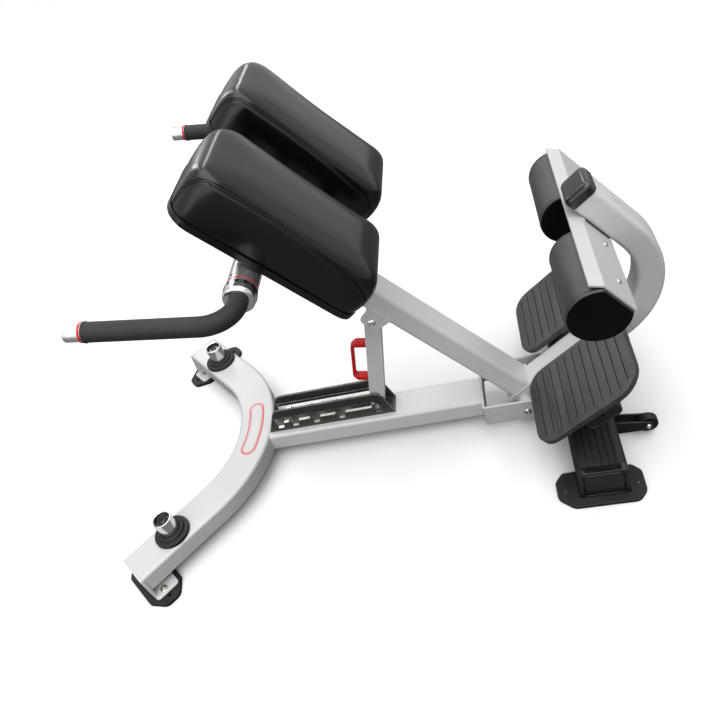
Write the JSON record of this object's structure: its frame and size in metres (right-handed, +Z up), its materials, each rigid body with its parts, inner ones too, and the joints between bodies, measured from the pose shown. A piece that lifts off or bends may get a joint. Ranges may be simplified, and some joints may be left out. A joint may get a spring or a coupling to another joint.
{
  "type": "hyperextension bench",
  "caption": "Angled hyperextension bench with split hip pads, turning handles, foot plates, ankle rollers and a ladder rack that sets the frame's tilt.",
  "frame": {"origin": "centre of the footprint's bounding box, on the floor under the feet", "axes": "+X from the front feet to the foot plates and wheels, +Y to the far side, +Z up"},
  "size_m": [1.4098, 0.9374, 0.9595],
  "materials": {
    "silver_paint": "satin",
    "black_paint": "satin",
    "gunmetal_paint": "satin",
    "red_paint": "gloss",
    "polished_steel": "polished",
    "zinc_steel": "satin",
    "black_rubber": "matte",
    "ribbed_rubber": "matte",
    "grip_rubber": "matte",
    "black_vinyl": "satin",
    "grey_vinyl": "satin",
    "black_plastic": "gloss",
    "bush_plastic": "matte",
    "board_wood": "matte"
  },
  "bodies": {
    "base": {"adjust_rack": "gunmetal_paint", "base_beam": "silver_paint", "foot_bolt_far_inner": "zinc_steel", "foot_bolt_far_outer": "zinc_steel", "foot_bolt_near_inner": "zinc_steel", "foot_bolt_near_outer": "zinc_steel", "front_arc": "silver_paint", "front_foot_pad_far": "black_rubber", "front_foot_pad_near": "black_rubber", "horn_bolt_far": "zinc_steel", "horn_bolt_near": "zinc_steel", "horn_bumper_far": "black_rubber", "horn_bumper_near": "black_rubber", "pivot_bolt": "zinc_steel", "pivot_fork": "silver_paint", "plate_horn_far": "polished_steel", "plate_horn_near": "polished_steel", "rear_cross_tube": "black_paint", "rear_end_cap_far": "black_plastic", "rear_end_cap_near": "black_plastic", "rear_foot_far": "black_rubber", "rear_foot_near": "black_rubber", "rear_tread_far": "black_rubber", "rear_tread_near": "black_rubber", "wheel_bolt_far": "zinc_steel", "wheel_bolt_near": "zinc_steel"},
    "upper_frame": {"main_post": "silver_paint", "foot_arch_tube": "silver_paint", "arch_end_cap": "black_plastic", "pivot_bush_near": "bush_plastic", "pivot_bush_far": "bush_plastic", "roller_bracket": "silver_paint", "roller_near": "grey_vinyl", "roller_far": "grey_vinyl", "roller_screw_near_inner": "zinc_steel", "roller_screw_near_outer": "zinc_steel", "roller_screw_far_inner": "zinc_steel", "roller_screw_far_outer": "zinc_steel", "foot_cross_bar": "black_paint", "foot_plate_near": "ribbed_rubber", "foot_plate_far": "ribbed_rubber", "handle_hub": "silver_paint", "pad_carrier_rear": "black_paint", "pad_carrier_front": "black_paint", "pad_board_near": "board_wood", "pad_board_far": "board_wood", "hip_pad_near": "black_vinyl", "hip_pad_far": "black_vinyl", "strut_bolt": "zinc_steel"},
    "strut": {"strut_tube": "silver_paint", "lift_handle": "red_paint"},
    "rack_pin": {"rack_pin": "polished_steel"},
    "handle_near": {"handle_bar_near": "polished_steel", "grip_near": "grip_rubber", "grip_cap_near": "polished_steel"},
    "handle_far": {"handle_bar_far": "polished_steel", "grip_far": "grip_rubber", "grip_cap_far": "polished_steel"},
    "wheel_near": {"wheel_near": "black_rubber"},
    "wheel_far": {"wheel_far": "black_rubber"}
  },
  "joints": [
    {"name": "frame_tilt", "type": "hinge", "parent": "base", "child": "upper_frame", "pos_m": [0.367, 0, 0.0635], "axis": [0, -1, 0], "range_deg": [0, 20.8]},
    {"name": "strut_swing", "type": "hinge", "parent": "upper_frame", "child": "strut", "pos_m": [0.06154, 0, 0.41021], "axis": [0, 1, 0], "range_deg": [0, 64.6]},
    {"name": "rack_pin_travel", "type": "slide", "parent": "base", "child": "rack_pin", "axis": [-1, 0, 0], "range_m": [0, 0.2836]},
    {"name": "handle_near_turn", "type": "hinge", "parent": "upper_frame", "child": "handle_near", "pos_m": [-0.07349, -0.3, 0.7413], "axis": [0, 1, 0], "range_deg": [-45, 90]},
    {"name": "handle_far_turn", "type": "hinge", "parent": "upper_frame", "child": "handle_far", "pos_m": [-0.07349, 0.3, 0.7413], "axis": [0, 1, 0], "range_deg": [-45, 90]},
    {"name": "wheel_near_spin", "type": "hinge", "parent": "base", "child": "wheel_near", "pos_m": [0.633, -0.145, 0.034], "axis": [0, 1, 0], "continuous": true},
    {"name": "wheel_far_spin", "type": "hinge", "parent": "base", "child": "wheel_far", "pos_m": [0.633, 0.145, 0.034], "axis": [0, 1, 0], "continuous": true}
  ],
  "couplings": [
    {"joint": "strut_swing", "follows": "frame_tilt", "ratio": 3.1},
    {"joint": "rack_pin_travel", "follows": "frame_tilt", "m_per_rad": 0.78}
  ]
}
